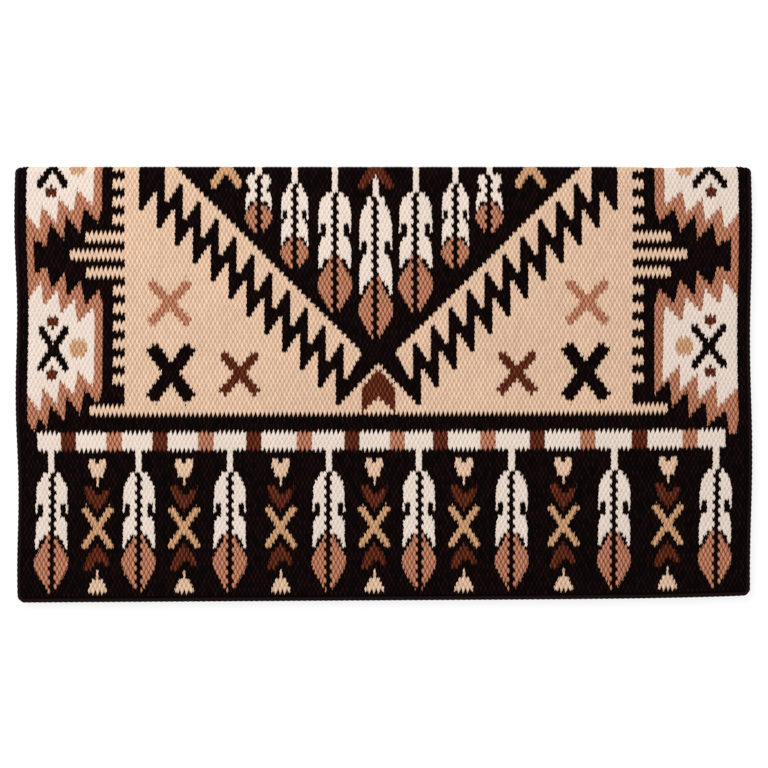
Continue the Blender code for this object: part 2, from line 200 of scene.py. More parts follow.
# Crosses in the field: distance from the V's centre, depth, half sizes, arm width
FIELD_CROSSES = {
    "black": (0.2433, 0.2414, 0.0296, 0.0362, 0.0162),
    "rust": (0.2452, 0.1597, 0.0270, 0.0280, 0.0108),
    "brown": (0.1627, 0.2420, 0.0245, 0.0268, 0.0108),
}
FOLD_CROSS = (0.1785, 0.0, 0.0205, 0.0272, 0.0096)
FOLD_CHEVRON = (0.0212, 0.0275, 0.0125)  # half width, depth of the feet, depth of the notch
FOLD_CHEVRON_TOP = 0.35  # of its width, at the fold

# Feathers
STEM_HALF = 0.0036
QUILL_HALF = 1.05  # in columns
BARBED_LENGTH = 0.04  # a vane longer than this has a hooked barb half way down
# Sides as shares of half the width and of the way from shoulder to joint, or joint to tip
VANE_SHARES = (
    (0.52, 0.0), (0.56, 0.10), (0.78, 0.12), (0.96, 0.27), (1.0, 0.645), (0.88, 0.645),
    (0.86, 0.53), (0.54, 0.53), (0.54, 0.70), (0.72, 0.71), (0.96, 0.84),
)
BARB_SHARES = ((1.0, 0.25), (0.86, 0.25), (0.70, 0.11), (0.50, 0.06), (0.32, 0.04))
TIP_SIDE_SHARES = (
    (0.30, 0.0), (0.36, 0.11), (0.55, 0.20), (0.80, 0.30), (1.05, 0.44), (1.05, 0.56),
    (0.86, 0.68), (0.60, 0.80), (0.38, 0.90), (0.18, 1.0),
)
# Distance from the V's centre, half width, then the depths of shoulder, joint and tip
V_FEATHERS = {
    "outer_left": (-0.1406, 0.0156, 0.0086, 0.0398, 0.0801),
    "wide_left": (-0.0981, 0.0160, 0.0228, 0.0808, 0.1217),
    "inner_left": (-0.0511, 0.0195, 0.0294, 0.1048, 0.1730),
    "centre": (-0.0031, 0.0195, 0.0390, 0.1323, 0.2030),
    "inner_right": (0.0438, 0.0195, 0.0294, 0.1048, 0.1730),
    "wide_right": (0.0905, 0.0160, 0.0228, 0.0808, 0.1217),
    "outer_right": (0.1304, 0.0156, 0.0086, 0.0398, 0.0801),
}
BEAD_LEFT = -0.407
BEAD_RIGHT = 0.400
BEAD_DEPTH = 0.3116
BEAD_HEIGHT = 0.021
BEAD_HALF = 0.0089
# Coloured beads, brown and rust in turn, as shares of half the blanket's width
BEAD_SHARES = (
    -0.857, -0.733, -0.609, -0.4845, -0.354, -0.2165, -0.087,
    0.0367, 0.1535, 0.2826, 0.416, 0.5544, 0.6943, 0.831,
)
HEM_FEATHER_SHARES = (-0.906, -0.667, -0.419, -0.150, 0.095, 0.347, 0.626, 0.901)
HEM_FEATHER_HALF = 0.0190
HEM_FEATHER = (0.3570, 0.4276, 0.4960)  # depths of shoulder, joint and tip

# The columns of marks between the hem's feathers
COLUMN_SHARES = (-0.780, -0.5435, -0.2807, -0.0262, 0.2174, 0.4877, 0.7717)
HEART = (0.3440, 0.0112, 0.0290)  # top, half width, height
HEART_SHARES = (
    (0.0, 0.10), (0.27, 0.0), (0.88, 0.0), (1.0, 0.33), (0.74, 0.36), (0.62, 0.55),
    (0.36, 0.70), (0.12, 0.72), (0.12, 1.0),
)
HEM_CHEVRON = (0.0158, 0.0322, 0.0140)  # half width, height, notch
CHEVRON_TOP = 0.3700
CHEVRON_ARM = 0.006
CHEVRON_WAIST = (0.72, 0.42)  # shares of half its width, and of its height above the point
HEM_CROSS = (0.4209, 0.0196, 0.0254, 0.0074)  # depth, half width, half height, arm
CARET_TOP = 0.4406
SPIRE = (0.4706, 0.0110, 0.0270)  # top, half width, height
SPIRE_SHARES = ((0.12, 0.0), (0.12, 0.40), (0.58, 0.42), (0.62, 0.66), (1.0, 0.70), (1.0, 1.0))


def length(name, default, description):
    return FloatProperty(name=name, description=description, default=default, unit="LENGTH")


class BlanketCloth(bpy.types.PropertyGroup):
    """How the cloth is woven and how it lies"""

    column_pitch: length("Column Pitch", 0.00262, "From one column of stitches to the next")
    row_pitch: length("Row Pitch", 0.00517, "From one row of stitches to the next")
    rise: length("Stitch Rise", 0.0012, "How far a stitch stands above the groove round it")
    overlap: length("Overlap", 0.0009, "How far a stitch runs past the next one's tip, so it leans")
    lean: length("Stitch Lean", 0.0005, "How far a stitch's tips lean to the side")
    wander: length("Wander", 0.0003, "How far hand weaving sets a stitch off its place")
    pull: FloatProperty(
        name="Pull",
        description="How much shorter than the middle the right side was beaten, as a share",
        default=0.0052, subtype="FACTOR", min=0.0, max=0.1,
    )
    rounding: length("Rounding", 0.008, "Radius that the edge cords draw the fold's ends in to")
    bow: length("Side Sway", 0.0012, "How far the sides swing in and out along the drop")
    dip: length("Fold Dip", 0.0012, "How far the fold sinks near its right end")
    swell: length("Swell", 0.0022, "How far the upper half lifts where it doesn't lie quite flat")
    seed: IntProperty(name="Seed", description="Start of the chance values", default=34)


class BlanketCords(bpy.types.PropertyGroup):
    """The two-ply cord bound round the cloth"""

    lay: length("Lay", 0.0125, "Length of one full turn of the two plies")
    steps: IntProperty(name="Steps a Turn", description="Rings in a turn of the plies", default=10)
    sides: IntProperty(name="Sides", description="Corners round a ply", default=8)


def linear(code):
    """A hex colour as it looks on screen, as the linear values that the shaders take."""
    values = [int(code[i : i + 2], 16) / 255 for i in (1, 3, 5)]
    return tuple(v / 12.92 if v <= 0.04045 else ((v + 0.055) / 1.055) ** 2.4 for v in values)


def wool_colour(name, code, what):
    return FloatVectorProperty(
        name=name, description=what, default=linear(code), size=3, subtype="COLOR", min=0.0, max=1.0
    )


class BlanketWools(bpy.types.PropertyGroup):
    """Colours of the dyed yarns"""

    black: wool_colour("Black", "#170908", "Black ground, V, crosses and edge cord")
    cream: wool_colour("Cream", "#F1E2D6", "Undyed yarn of the feathers, beads and diamonds")
    tan: wool_colour("Tan", "#F1D0B5", "Field, V linings, hearts and spires")
    rust: wool_colour("Rust", "#D49374", "Diamond outlines, feather ends and beads")
    brown: wool_colour("Brown", "#703621", "Arrowhead, chevrons, crosses and beads")
    gold: wool_colour("Golden Tan", "#E0B189", "Small crosses and dots")


class BlanketStage(bpy.types.PropertyGroup):
    """The floor, the lamps and the camera"""

    camera_height: length("Camera Height", 2.6, "Above the floor")
    view_width: length("View Width", 0.8972, "What the picture takes in across the upper face")
    view_middle: FloatVectorProperty(
        name="View Middle", description="Where the picture's middle lies from the blanket's",
        default=(0.001, -0.0012), size=2, unit="LENGTH",
    )
    lamp_power: FloatProperty(
        name="Lamp Power", description="Of the large soft lamp", default=44.0, unit="POWER"
    )
    sky: FloatProperty(
        name="Room Light", description="Strength of the light from all round", default=0.56
    )


def smooth(x):
    x = np.clip(x, 0.0, 1.0)
    return x * x * (3 - 2 * x)


class Loom:
    """The lattice of stitches and the way that the woven cloth lies.

    Stitches are numbered by column and row. Rows 0 and -1 meet at the fold's middle, and every
    other place of the lattice holds a stitch, so that a stitch lies between those of the next row.
    """

    def __init__(self, cloth):
        self.cloth = cloth
        self.columns = round(2 * WEB_HALF / cloth.column_pitch)
        self.rows = round(HEM_WAY / cloth.row_pitch)
        self.wide = 2 * WEB_HALF / self.columns
        self.high = HEM_WAY / self.rows
        chance = np.random.default_rng(cloth.seed)
        shape = (self.columns + 2, 2 * self.rows + 4)
        self.shifts = chance.uniform(-1, 1, (2, *shape))
        self.plump = chance.uniform(0, 1, shape)
        self.tone = chance.uniform(0, 1, shape)

    def within(self, i, j):
        return np.clip(i, 0, self.columns), np.clip(j, -self.rows - 0.5, self.rows - 0.5)

    def read(self, table, i, j):
        """A table of chance values, read smoothly between its entries."""
        i, j = self.within(i, j)
        j = j + self.rows + 1
        low_i, low_j = np.floor(i).astype(int), np.floor(j).astype(int)
        di, dj = i - low_i, j - low_j
        near = table[low_i, low_j] * (1 - di) + table[low_i + 1, low_j] * di
        far = table[low_i, low_j + 1] * (1 - di) + table[low_i + 1, low_j + 1] * di
        return near * (1 - dj) + far * dj

    def place(self, i, j, height):
        """Points given by column, row and height above the cloth's inner face."""
        i, j = self.within(i, j)
        inside = np.clip(np.minimum(i, self.columns - i) / 2, 0, 1)
        ends = np.clip((self.rows - np.abs(j + 0.5)) / 2, 0, 1)
        shift_i, shift_j = (self.cloth.wander * self.read(table, i, j) for table in self.shifts)
        along = i * self.wide - WEB_HALF + inside * shift_i
        way = (j + 0.5) * self.high + ends * shift_j
        return self.lay(along, way, INNER_RADIUS + height)

    def lay(self, along, way, radius):
        """Points of the folded cloth, by place on the spine, way over the back and distance from
        the middle of the gap."""
        turn = np.clip(way, -QUARTER, QUARTER) / FOLD_RADIUS
        past = np.maximum(np.abs(way) - QUARTER, 0)
        y = FOLD_CENTRE + radius * np.cos(turn) - past
        z = FOLD_LEVEL + radius * np.sin(turn)
        depth = FOLD_Y - y
        across = along / HALF_WIDTH
        drawn_up = across + CORNER_PULL * np.clip(across, 0, 1) ** CORNER_POWER
        shorter = self.cloth.pull * drawn_up
        y = y + past * (shorter - LONGER)
        hollow = np.exp(-(((across - DIP_AT) / DIP_WIDTH) ** 2) - (depth / DIP_REACH) ** 2)
        y = y - self.cloth.dip * hollow
        corner = np.clip(1 - depth / self.cloth.rounding, 0, 1)
        drawn_in = self.cloth.rounding * (1 - np.sqrt(1 - corner**2))
        drawn_in = drawn_in * smooth((np.abs(along) - HALF_WIDTH + ENDS_LENGTH) / ENDS_LENGTH)
        left, right = (
            slope * depth + rise - np.cos((depth - start) * pace)
            for slope, rise, start, pace in (LEFT_SWAY, RIGHT_SWAY)
        )
        sway = self.cloth.bow * np.where(along < 0, left, right) * across**4
        x = NARROWER * along + ASIDE - np.sign(along) * (sway + drawn_in)
        to_hem = HEM_WAY - QUARTER - past + ENDS_LENGTH
        lift = smooth((past - SWELL_START) / SWELL_RUN) * smooth(to_hem / SWELL_RUN)
        waves = sum((0.25 * np.sin(x * a + y * b + c) for a, b, c in SWELL_WAVES), 0.5)
        z = z + self.cloth.swell * lift * waves * (way > QUARTER)
        return np.stack([x, y, z], -1)


STEPS = 3  # a stitch's little squares each way, on both faces of the cloth
LEVEL_STEPS = 4  # how many of them a line runs level each way where the tips stand past it
ROUNDNESS = 0.6  # of a stitch: 1 is a parabola, and less is plumper
THINNEST = 0.84  # of the stitches' rises, as a share of the full one
BORDER_RISE = 0.3  # where two areas meet, as a share of a stitch's rise
POINTS = 1000  # places to a stitch, on which two corners that fall together are one
TINY = 1e-6
# Strips of the flat map for the outer face, the inner face and the walls: start and height
MAP_STRIPS = np.array([(0.53, 0.465), (0.005, 0.465), (0.485, 0.03)])
MAP_START, MAP_WIDTH = 0.004, 0.992


def bump_of(share):
    """The rise of a stitch across one of its two ways, from its grooves to its crown."""
    return np.clip(1 - (2 * share - 1) ** 2, 0, 1) ** ROUNDNESS


def stitch_grid(cloth, loom):
    """Corners of one stitch's little squares about its middle, in columns and rows.

    A stitch is a lozenge. Its tip toward the hem leans left and runs past the tip of the stitch
    below, so two of its sides have a bend one step from the tip, where the next but one begins.
    """
    lean, past = cloth.lean / loom.wide, cloth.overlap / loom.high
    right, bend, tip = np.array([[1 - lean, past], [lean, 1 - past], [-lean, 1 + past]])
    k = np.arange(STEPS)[:, None] / (STEPS - 1)
    lower = np.concatenate([right + (bend - right) * k, [tip]])
    upper = -lower[::-1]
    share = np.arange(STEPS + 1)[:, None, None] / STEPS
    return upper * (1 - share) + lower * share


def put_weave(mesh, domain, places):
    """Gives the wool's material each place in a stitch, or on a ply."""
    places = places.astype(np.float32).ravel()
    mesh.attributes.new("weave", "FLOAT_VECTOR", domain).data.foreach_set("vector", places)


class Web:
    """A half's woven cloth, or the turn at the fold: little squares that each know their area.

    A yarn ends at the warp where its area ends, which can be inside a stitch's width. So the areas
    share out the little squares and not the whole stitches.
    """

    def __init__(self, loom, i, j, area):
        self.area = area.reshape(-1)
        grid = stitch_grid(loom.cloth, loom)
        at_i, at_j = loom.within(i[:, None, None] + grid[..., 0], j[:, None, None] + grid[..., 1])
        whole_i, whole_j = (np.round(at * POINTS).astype(np.int64) for at in (at_i, at_j))
        number = whole_i * (1 << 24) + whole_j
        first, self.spot = np.unique(number, return_index=True, return_inverse=True)[1:]
        self.spot = self.spot.reshape(-1)
        self.at_i, self.at_j = at_i.ravel()[first], at_j.ravel()[first]
        self.count = len(first)

        # Each corner's place in its stitch, and the stitch's own chance
        share = np.arange(STEPS + 1) / STEPS
        tone = loom.read(loom.tone, i, j)[:, None, None]
        place = np.broadcast_arrays(share[:, None], share[None, :], tone + 0 * at_i)
        self.place = np.stack(place, -1).reshape(-1, 3)

        corner = np.arange(at_i.size).reshape(at_i.shape)
        square = [corner[:, :-1, :-1], corner[:, :-1, 1:], corner[:, 1:, 1:], corner[:, 1:, :-1]]
        self.squares = np.stack(square, -1).reshape(-1, 4)
        x, y = self.at_i[self.spot[self.squares]], self.at_j[self.spot[self.squares]]
        real = np.abs((x * np.roll(y, -1, 1) - np.roll(x, -1, 1) * y).sum(1)) > TINY
        self.squares, self.area = self.squares[real], self.area[real]

        # Stitches are high in the middle, and low where another stitch or area begins
        s, t = self.place[first, 0], self.place[first, 1]
        self.rim = bump_of(s) * bump_of(t) < TINY
        lowest, highest = np.full(self.count, 1 << 20), np.full(self.count, -1)
        around = self.spot[self.squares]
        np.minimum.at(lowest, around, self.area[:, None])
        np.maximum.at(highest, around, self.area[:, None])
        plump = THINNEST + (1 - THINNEST) * loom.read(loom.plump, self.at_i, self.at_j)
        bump = loom.cloth.rise * bump_of(s) * bump_of(t) * plump
        bump = np.where(lowest != highest, BORDER_RISE * bump, bump)
        full = FOLD_RADIUS - INNER_RADIUS
        faces = [
            loom.place(self.at_i, self.at_j, height)
            for height in (full - loom.cloth.rise + bump, loom.cloth.rise - bump)
        ]
        self.points = np.concatenate(faces)

    def mesh(self, name, areas, materials=None, walls=True):
        """Both faces of the areas, with walls round them, or only where the web itself ends."""
        chosen = np.isin(self.area, areas)
        outer = self.squares[chosen]
        material = np.zeros(len(outer), int) if materials is None else materials[self.area[chosen]]

        # A wall stands on each side of a square that no other square shares
        rest = outer if walls else self.squares
        start, end = self.spot[outer], self.spot[np.roll(outer, -1, 1)]
        sides = self.spot[rest] * self.count + self.spot[np.roll(rest, -1, 1)]
        bare = (start != end) & ~np.isin(end * self.count + start, sides)
        one, other = outer[bare], np.roll(outer, -1, 1)[bare]
        wall = np.stack([other, one, one, other], -1)

        corners = np.concatenate([outer, outer[:, ::-1], wall])
        level = np.zeros(corners.shape, int)
        level[len(outer) : 2 * len(outer)] = 1
        level[2 * len(outer) :, 2:] = 1
        material = np.concatenate([material, material, np.repeat(material, bare.sum(1))])
        part = np.repeat([0, 1, 2], [len(outer), len(outer), len(wall)])

        # Squares cut off at the cloth's edge have three corners left
        spots = self.spot[corners] + self.count * level
        kept = spots != np.roll(spots, -1, 1)
        whole = kept.sum(1) > 2
        kept = kept & whole[:, None]
        counts = kept.sum(1)[whole]
        used, at, flat, level = spots[kept], corners[kept], self.spot[corners[kept]], level[kept]
        found, index = np.unique(used, return_inverse=True)

        mesh = bpy.data.meshes.new(name)
        mesh.vertices.add(len(found))
        mesh.loops.add(len(index))
        mesh.polygons.add(len(counts))
        starts = np.concatenate([[0], np.cumsum(counts)[:-1]])
        for kept_in, called, values, kind in (
            (mesh.vertices, "co", self.points[found], np.float32),
            (mesh.loops, "vertex_index", index, np.int32),
            (mesh.polygons, "loop_start", starts, np.int32),
            (mesh.polygons, "material_index", material[whole], np.int32),
        ):
            kept_in.foreach_set(called, values.astype(kind).ravel())
        mesh.update(calc_edges=True)
        mesh.shade_smooth()
        put_weave(mesh, "CORNER", self.place[at])

        # A flat map: the outer face above, the inner face below, the walls in a strip between
        across, along = (
            (places[flat] - places[flat].min()) / max(np.ptp(places[flat]), 1)
            for places in (self.at_i, self.at_j)
        )
        part = np.repeat(part[whole], counts)
        start, height = MAP_STRIPS[part].T
        high = start + height * np.where(part == 2, level == 0, along)
        chart = np.stack([MAP_START + MAP_WIDTH * across, high], -1).astype(np.float32)
        mesh.uv_layers.new(name="OFBake", do_init=False).data.foreach_set("uv", chart.ravel())

        # The grooves stay sharp
        ends = np.empty(2 * len(mesh.edges), np.int32)
        mesh.edges.foreach_get("vertices", ends)
        rim = self.rim[found % self.count][ends.reshape(-1, 2)].all(1)
        mesh.attributes.new("sharp_edge", "BOOLEAN", "EDGE").data.foreach_set("value", rim)
        mesh.validate()
        return mesh


def added(name, data):
    """A new object in the scene."""
    made = bpy.data.objects.new(name, data)
    bpy.context.scene.collection.objects.link(made)
    return made


def shown(name, mesh, materials, stood_for=None, body=None):
    """A piece, with its finish, the solid that it stands for and the body that it moves with."""
    for material in materials:
        mesh.materials.append(material)
    made = added(name, mesh)
    if stood_for:
        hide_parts(stood_for)
    if body:
        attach(made, body)
    return made


# Outlines of the pattern: lists of (place along the spine, depth from the fold)
ABOVE = -0.001  # a little over the fold, so that the row on it is taken in


def cross(middle, depth, half_wide, half_high, arm):
    """Two crossed arms with square ends."""
    reach = math.hypot(half_wide, half_high)
    cosine, sine = half_wide / reach, half_high / reach
    side, top = arm / 2 / sine, arm / 2 / cosine
    end = (half_wide - arm / 2 * sine, half_high - arm / 2 * cosine)
    shift = (arm / 2 * sine, arm / 2 * cosine)
    quarter = [
        (side, 0),
        (end[0] + shift[0], end[1] - shift[1]),
        (end[0] - shift[0], end[1] + shift[1]),
        (0, top),
    ]
    upper = quarter + [(-x, y) for x, y in quarter[2::-1]]
    points = upper + [(x, -y) for x, y in upper[-2:0:-1]]
    return [(middle + x, depth + y) for x, y in points]


def mirrored(middle, side):
    """Both sides of an outline from its left one, from top to bottom."""
    left = [(middle - out, depth) for out, depth in side]
    return left + [(middle + out, depth) for out, depth in reversed(side)]


def oval(middle, depth, half_wide, half_high):
    turns = [math.tau * k / 16 for k in range(16)]
    return [(middle + half_wide * math.cos(t), depth + half_high * math.sin(t)) for t in turns]


def across(side, share):
    way = 1 if side == "left" else -1
    return DIAMOND_OUTER[side] + way * DIAMOND_WIDTH[side] * share


def on_diamond(side, shares, centre, way):
    """A diamond's toothed edge, below its centre for way 1 and above it for -1."""
    points = [(across(side, share), centre + way * high * DIAMOND_HALF) for share, high in shares]
    return points if way > 0 else points[::-1]


def rust_outline(side):
    strip, high = RUST_STRIP_SHARES
    strip_at = across(side, strip)
    return [
        (DIAMOND_OUTER[side], ABOVE),
        *on_diamond(side, RUST_LOW_SHARES[side], DIAMOND_DEPTH, 1),
        *on_diamond(side, RUST_EDGE_SHARES, DIAMOND_DEPTH, -1),
        (strip_at, DIAMOND_DEPTH - high * DIAMOND_HALF),
        (strip_at, high * DIAMOND_HALF),
        *on_diamond(side, RUST_EDGE_SHARES, 0, 1),
        (across(side, 1), ABOVE),
    ]


def upper_cream(side):
    edge = on_diamond(side, CREAM_EDGE_SHARES, 0, 1)
    return [(DIAMOND_OUTER[side], ABOVE), *edge, (edge[-1][0], ABOVE)]


def lower_cream(side):
    return [
        *on_diamond(side, CREAM_LOW_SHARES[side], DIAMOND_DEPTH, 1),
        *on_diamond(side, CREAM_EDGE_SHARES, DIAMOND_DEPTH, -1),
    ]


def field_outline():
    """The field, with its teeth and stripes standing out into both borders."""
    middles = [k * TOOTH_PITCH for k in range(1, 1 + int(FIELD_DEPTH / TOOTH_PITCH))]
    middles = [m for m in middles if m + TOOTH_HEIGHT < FIELD_DEPTH - TOOTH_HEIGHT]
    teeth = [(ABOVE, TOOTH_HEIGHT / 2, TOOTH_LENGTH)]
    for count, middle in enumerate(middles, 1):
        length = TOOTH_LENGTH
        if count in STRIPE_TEETH:
            length = STRIPE_LONG if count == STRIPE_TEETH[1] else STRIPE_SHORT
        teeth.append((middle - TOOTH_HEIGHT / 2, middle + TOOTH_HEIGHT / 2, length))
    teeth.append((FIELD_DEPTH - TOOTH_HEIGHT, FIELD_DEPTH, STRIPE_LOW))
    left, right = [], []
    for top, bottom, length in teeth:
        for points, edge, out in ((left, FIELD_LEFT, -length), (right, FIELD_RIGHT, length)):
            points.extend([(edge, top), (edge + out, top), (edge + out, bottom), (edge, bottom)])
    return left + right[::-1]


def v_outline():
    """Down the zigzag's outer edge on the left to the crossing, and up on the right."""
    points = [(ZIGZAG_OUTER, ABOVE)]
    for k in range(ZIGZAG_TIPS):
        tip = (ZIGZAG_OUTER - k * ZIGZAG_STEP, ZIGZAG_TIP_DEPTH + k * ZIGZAG_DROP)
        points += [tip, (tip[0] - BLUNT, tip[1])]
        if k < ZIGZAG_TIPS - 1:
            notch = tip[0] - ZIGZAG_NOTCH_IN, tip[1] - ZIGZAG_NOTCH_UP
            points += [(notch[0] + SHARP, notch[1]), notch]
    return mirrored(V_CENTRE, points + [(0, CROSSING_DEPTH)])


def lining_outline(way):
    """The tan strip beside the triangle, with a tooth for each turn of the zigzag."""
    points = [(LINING_OUTER, ABOVE)]
    for k in range(LINING_TEETH):
        out = LINING_OUTER - k * ZIGZAG_STEP
        depth = LINING_TOOTH_DEPTH + k * ZIGZAG_DROP
        if k:
            points += [(out + BLUNT, depth - LINING_TOOTH), (out, depth - LINING_TOOTH)]
        points += [(out, depth), (out - BLUNT, depth)]
    points.append((LINING_END, (V_HALF - LINING_END) * V_SLOPE))
    points.append((V_HALF, ABOVE))
    return [(V_CENTRE + way * out, depth) for out, depth in points]


def arrowhead():
    foot = ARROW_TOP + ARROW_HEIGHT
    side = [(0, ARROW_TOP), (ARROW_HALF, ARROW_TOP + ARROW_SHOULDER), (ARROW_HALF, foot)]
    return mirrored(V_CENTRE, side + [(0, foot - ARROW_NOTCH)])


def feather(middle, half, start, shoulder, joint, tip):
    """A feather's stem and hooked vanes."""
    side = [(STEM_HALF, start), (STEM_HALF, shoulder)]
    for share, down in VANE_SHARES:
        if joint - shoulder > BARBED_LENGTH or not 0.5 < down < 0.7:
            side.append((share * half, shoulder + down * (joint - shoulder)))
    side += [(share * half, joint + down * (tip - joint)) for share, down in BARB_SHARES]
    return mirrored(middle, side + [(0, joint)])


def chevron(middle, point, half, height, notch):
    """A V or, with negative sizes down, a caret, by its outer point and the notch in it."""
    top = point - height
    waist = CHEVRON_WAIST[0] * half, point - CHEVRON_WAIST[1] * height
    side = [(half - CHEVRON_ARM, top), (half, top + notch / 3), waist, (0, point)]
    return mirrored(middle, side + [(0, point)])[:-1] + [(middle, top + notch)]


def mark(middle, top, half, height, shares):
    """A small mark or the end of a feather, its side given as shares of half width and height."""
    return mirrored(middle, [(share * half, top + down * height) for share, down in shares])


def inside(x, y, outline):
    """Which of the points lie within an outline."""
    within = np.zeros(x.shape, bool)
    points = np.array(outline)
    for (x0, y0), (x1, y1) in zip(points, np.roll(points, -1, 0)):
        if y0 == y1:
            continue
        cuts = (y0 > y) != (y1 > y)
        within ^= cuts & (x < x0 + (y - y0) / (y1 - y0) * (x1 - x0))
    return within


class Chart:
    """Which area of colour each part of each stitch of a half belongs to."""

    def __init__(self, loom, side):
        self.loom, self.side = loom, side
        column = np.arange(loom.columns * STEPS + 1) / STEPS
        self.column, self.row = np.meshgrid(column, np.arange(loom.rows + 1), indexing="ij")
        way = (self.row + 0.5) * loom.high
        on_turn = FOLD_RADIUS * (1 - np.cos(np.minimum(way, QUARTER) / FOLD_RADIUS))
        self.along = self.column * loom.wide - WEB_HALF
        self.depth = np.where(way < QUARTER, on_turn, way - SAVED)
        self.names = ["border_frame"]
        self.area = np.zeros(self.row.shape, int)
        self.draw()

    def fill(self, name, within):
        if name not in self.names:
            self.names.append(name)
        self.area[within] = self.names.index(name)

    def weave(self, name, *outlines):
        for outline in outlines:
            self.fill(name, inside(self.along, self.depth, outline))

    def quill(self, ground, middle, shoulder, tip):
        """The dark quill: in each row the stitch next to the middle, so that it sways."""
        start = math.floor((middle + WEB_HALF) / self.loom.wide)
        stitch = start + (start + self.row + (self.side < 0)) % 2
        rows = (self.depth > shoulder) & (self.depth < tip + self.loom.high)
        self.fill(ground, (np.abs(self.column - stitch) < QUILL_HALF) & rows)

    def draw(self):
        self.fill("end_panel", self.depth > BEAD_DEPTH)
        self.weave("tan_field", field_outline())
        for side in ("left", "right"):
            self.draw_diamonds(side)
        self.draw_v()
        self.draw_hem()

    def draw_diamonds(self, side):
        self.weave(f"rust_outline_{side}", rust_outline(side))
        self.weave(f"upper_cream_{side}", upper_cream(side))
        self.weave(f"lower_cream_{side}", lower_cream(side))
        middle = across(side, BORDER_CROSS_SHARE)
        for depth in (0, MARKS_DEPTH):
            half = BORDER_CROSS_HALF[side]
            self.weave("border_crosses", cross(middle, depth, half, *BORDER_CROSS))
            self.weave("border_dots", oval(across(side, DOT_SHARE[side]), depth, *DOT))
        middle = across(side, FLOWER_SHARE)
        for tip, foot in FLOWERS:
            self.weave("border_flowers", mark(middle, tip, FLOWER_HALF, foot - tip, FLOWER_SHARES))

    def draw_v(self):
        self.weave("v_panel", v_outline())
        for side, way in (("left", -1), ("right", 1)):
            self.weave(f"v_lining_{side}", lining_outline(way))
            for colour, (out, *sizes) in FIELD_CROSSES.items():
                self.weave(f"{colour}_cross_{side}", cross(V_CENTRE + way * out, *sizes))
            out, *sizes = FOLD_CROSS
            self.weave("fold_crosses", cross(V_CENTRE + way * out, *sizes))
        self.weave("arrowhead", arrowhead())
        for name, (out, half, shoulder, joint, tip) in V_FEATHERS.items():
            middle = V_CENTRE + out
            self.weave(f"v_feather_{name}", feather(middle, half, ABOVE, shoulder, joint, tip))
            end = mark(middle, joint, half, tip - joint, TIP_SIDE_SHARES)
            self.weave(f"v_feather_tip_{name}", end)
            self.quill("v_panel", middle, shoulder, tip)
        half, feet, notch = FOLD_CHEVRON
        side = [(0, ABOVE), (half * FOLD_CHEVRON_TOP, ABOVE)]
        side += [(half, feet - notch / 3), (half - CHEVRON_ARM, feet)]
        middle = V_CENTRE + V_FEATHERS["centre"][0]
        self.weave("fold_chevron", mirrored(middle, side + [(0, notch)]))

    def draw_hem(self):
        low = BEAD_DEPTH + BEAD_HEIGHT
        ends = ((BEAD_LEFT, BEAD_DEPTH, low), (BEAD_RIGHT, low, BEAD_DEPTH))
        self.weave("bead_band", [(x, depth) for x, *depths in ends for depth in depths])
        for count, share in enumerate(BEAD_SHARES):
            middle = share * HALF_WIDTH
            ends = [(BEAD_HALF, BEAD_DEPTH), (BEAD_HALF, low)]
            self.weave("beads_rust" if count % 2 else "beads_brown", mirrored(middle, ends))
        shoulder, joint, tip = HEM_FEATHER
        for share in HEM_FEATHER_SHARES:
            middle, half = share * HALF_WIDTH, HEM_FEATHER_HALF
            self.weave("bead_band", feather(middle, half, low - BEAD_HEIGHT / 2, *HEM_FEATHER))
            end = mark(middle, joint, half, tip - joint, TIP_SIDE_SHARES)
            self.weave("hem_feather_tips", end)
            self.quill("end_panel", middle, shoulder, tip)
        for share in COLUMN_SHARES:
            middle = share * HALF_WIDTH
            self.weave("hem_hearts", mark(middle, *HEART, HEART_SHARES))
            half, height, notch = HEM_CHEVRON
            upper = chevron(middle, CHEVRON_TOP + height, half, height, notch)
            self.weave("hem_chevrons", upper, chevron(middle, CARET_TOP, half, -height, -notch))
            self.weave("hem_crosses", cross(middle, *HEM_CROSS))
            self.weave("hem_spires", mark(middle, *SPIRE, SPIRE_SHARES))

    def stitches(self, first, last):
        """Columns and rows of the stitches between two rows, and the areas of their little squares.

        Where two areas meet on a line that runs level for a while, the tips of the stitches stand
        past it like flames. At steps and corners they are pulled in, so there each little square
        goes with the row that it lies beside.
        """
        i, row = np.meshgrid(
            np.arange(self.loom.columns + 1), np.arange(first, last + 1), indexing="ij"
        )
        stitch = (i + row) % 2 == (self.side < 0)
        i, row = i[stitch][:, None, None], row[stitch][:, None, None]
        grid = stitch_grid(self.loom.cloth, self.loom)
        middle = (grid[1:, 1:] + grid[:-1, 1:] + grid[1:, :-1] + grid[:-1, :-1]) / 4
        column = np.round((i + middle[..., 0]) * STEPS).astype(int)
        column = np.clip(column, 0, self.loom.columns * STEPS)
        beside = np.round(middle[..., 1]).astype(int) * self.side
        beside = np.clip(row + beside, 0, self.loom.rows)

        pair = self.area[:, :-1] * len(self.names) + self.area[:, 1:]
        level = np.ones(pair.shape, bool)
        for step in range(1, LEVEL_STEPS + 1):
            same = pair[step:] == pair[:-step]
            level[step:] &= same
            level[:-step] &= same
        line = np.clip(np.minimum(row, beside), 0, self.loom.rows - 1)
        stands = level[i * STEPS, line]
        area = self.area[column, np.where(stands, row, beside)]
        return i.ravel(), (row if self.side > 0 else -1 - row).ravel(), area


